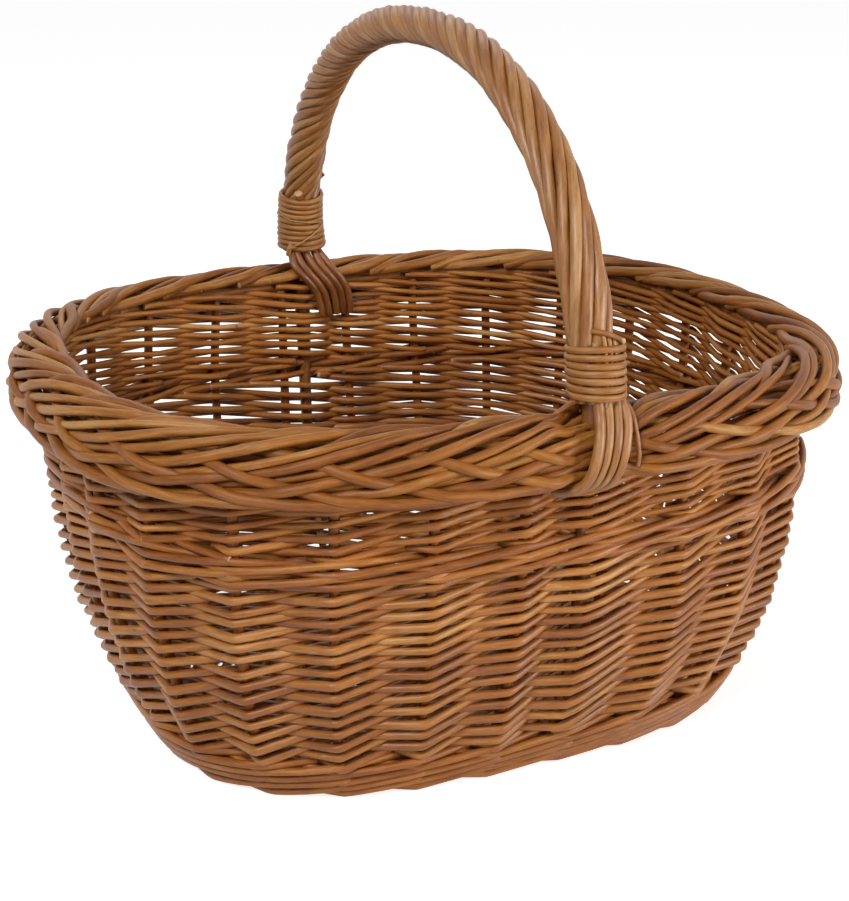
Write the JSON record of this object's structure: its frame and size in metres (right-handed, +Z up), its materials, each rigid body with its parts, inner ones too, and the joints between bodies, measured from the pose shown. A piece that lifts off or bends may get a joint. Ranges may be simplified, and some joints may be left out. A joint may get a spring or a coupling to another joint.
{
  "type": "foraging basket",
  "caption": "Oval woven willow basket with flared sides, a plaited rim and a fixed roped arch handle bound at both feet, for gathering mushrooms.",
  "frame": {"origin": "on the floor plane, under the middle of the basket's box", "axes": "+X along the long side of the oval, +Y towards the back foot of the handle, +Z up; the handle arches over from -Y to +Y"},
  "size_m": [0.45, 0.391, 0.386],
  "materials": {
    "base_stick_willow": "peeled boiled willow, satin",
    "base_weave_willow": "woven thin willow, matt",
    "stake_willow": "boiled willow rod, satin",
    "upsett_willow": "woven willow, satin",
    "lower_siding_willow": "plain randed willow, satin",
    "mid_wale_willow": "waled willow, satin",
    "upper_siding_willow": "plain randed thin willow, satin",
    "plaited_border_willow": "plaited willow, satin",
    "bow_willow": "thick willow rod, matt",
    "roping_willow": "roped willow, satin",
    "binding_willow": "thin willow rod, satin",
    "front_tail_willow": "willow rod, satin",
    "inner_tail_willow": "willow rod, satin"
  },
  "bodies": {
    "root": {"base_long_stick_front": "base_stick_willow", "base_long_stick_back": "base_stick_willow", "base_cross_stick_1": "base_stick_willow", "base_cross_stick_2": "base_stick_willow", "base_cross_stick_3": "base_stick_willow", "base_cross_stick_4": "base_stick_willow", "base_cross_stick_5": "base_stick_willow", "base_weave": "base_weave_willow", "stake_01": "stake_willow", "stake_02": "stake_willow", "stake_03": "stake_willow", "stake_04": "stake_willow", "stake_05": "stake_willow", "stake_06": "stake_willow", "stake_07": "stake_willow", "stake_08": "stake_willow", "stake_09": "stake_willow", "stake_10": "stake_willow", "stake_11": "stake_willow", "stake_12": "stake_willow", "stake_13": "stake_willow", "stake_14": "stake_willow", "stake_15": "stake_willow", "stake_16": "stake_willow", "stake_17": "stake_willow", "stake_18": "stake_willow", "stake_19": "stake_willow", "stake_20": "stake_willow", "stake_21": "stake_willow", "stake_22": "stake_willow", "stake_23": "stake_willow", "stake_24": "stake_willow", "stake_25": "stake_willow", "stake_26": "stake_willow", "upsett_first_round": "upsett_willow", "upsett_wale": "upsett_willow", "lower_siding": "lower_siding_willow", "mid_wale": "mid_wale_willow", "upper_siding": "upper_siding_willow", "plaited_border": "plaited_border_willow", "handle_bow": "bow_willow", "handle_roping": "roping_willow", "front_binding": "binding_willow", "back_binding": "binding_willow", "front_tail_1": "front_tail_willow", "front_tail_2": "front_tail_willow", "front_tail_3": "front_tail_willow", "front_tail_4": "front_tail_willow", "front_inner_tail_1": "inner_tail_willow", "front_inner_tail_2": "inner_tail_willow", "back_tail_1": "inner_tail_willow", "back_tail_2": "inner_tail_willow", "back_tail_3": "inner_tail_willow", "back_tail_4": "inner_tail_willow", "back_tail_5": "inner_tail_willow"}
  },
  "joints": []
}
